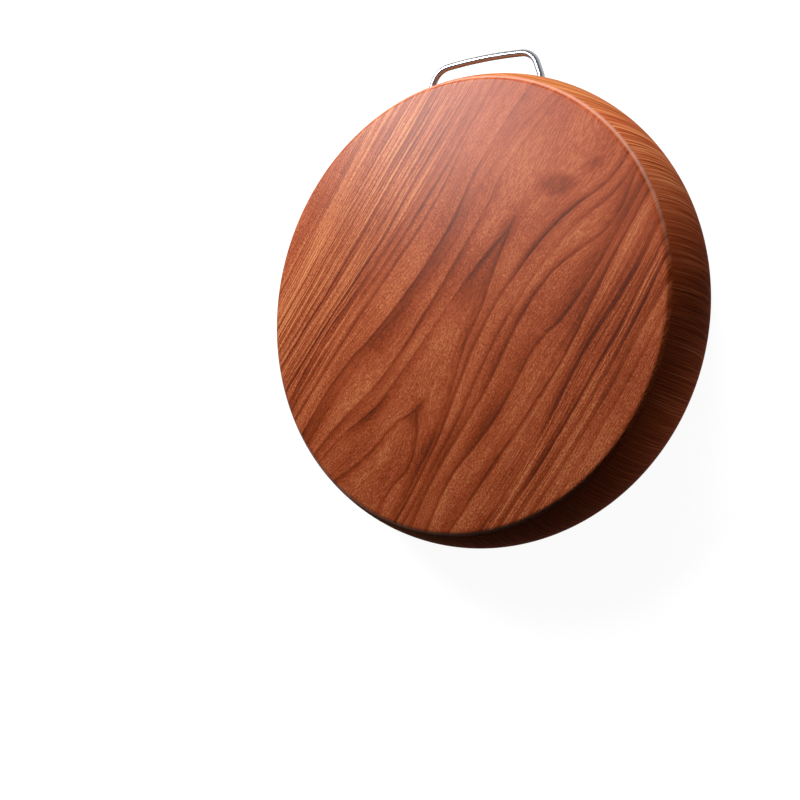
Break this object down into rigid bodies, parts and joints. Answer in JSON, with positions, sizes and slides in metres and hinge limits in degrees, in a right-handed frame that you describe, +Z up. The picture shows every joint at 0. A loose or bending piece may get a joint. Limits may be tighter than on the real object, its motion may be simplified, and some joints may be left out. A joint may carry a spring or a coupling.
{
  "type": "round chopping block",
  "caption": "Thick round hardwood chopping block with a barrel-shaped rim, eased edges and a low bow handle of polished steel rod set into the rim.",
  "frame": {"origin": "centre of the block's bottom face", "axes": "+Z up out of the top chopping face, +Y from the block's middle to the handle, +X to the right with the handle at the far side"},
  "size_m": [0.3, 0.3162, 0.06],
  "materials": {
    "hardwood": "red-brown dense hardwood, sanded smooth and oiled to a soft sheen",
    "polished_steel": "polished stainless steel rod",
    "adhesive": "cured clear amber epoxy"
  },
  "bodies": {
    "root": {"wood_block": "hardwood", "bow_handle": "polished_steel", "left_leg_adhesive": "adhesive", "right_leg_adhesive": "adhesive"}
  },
  "joints": []
}
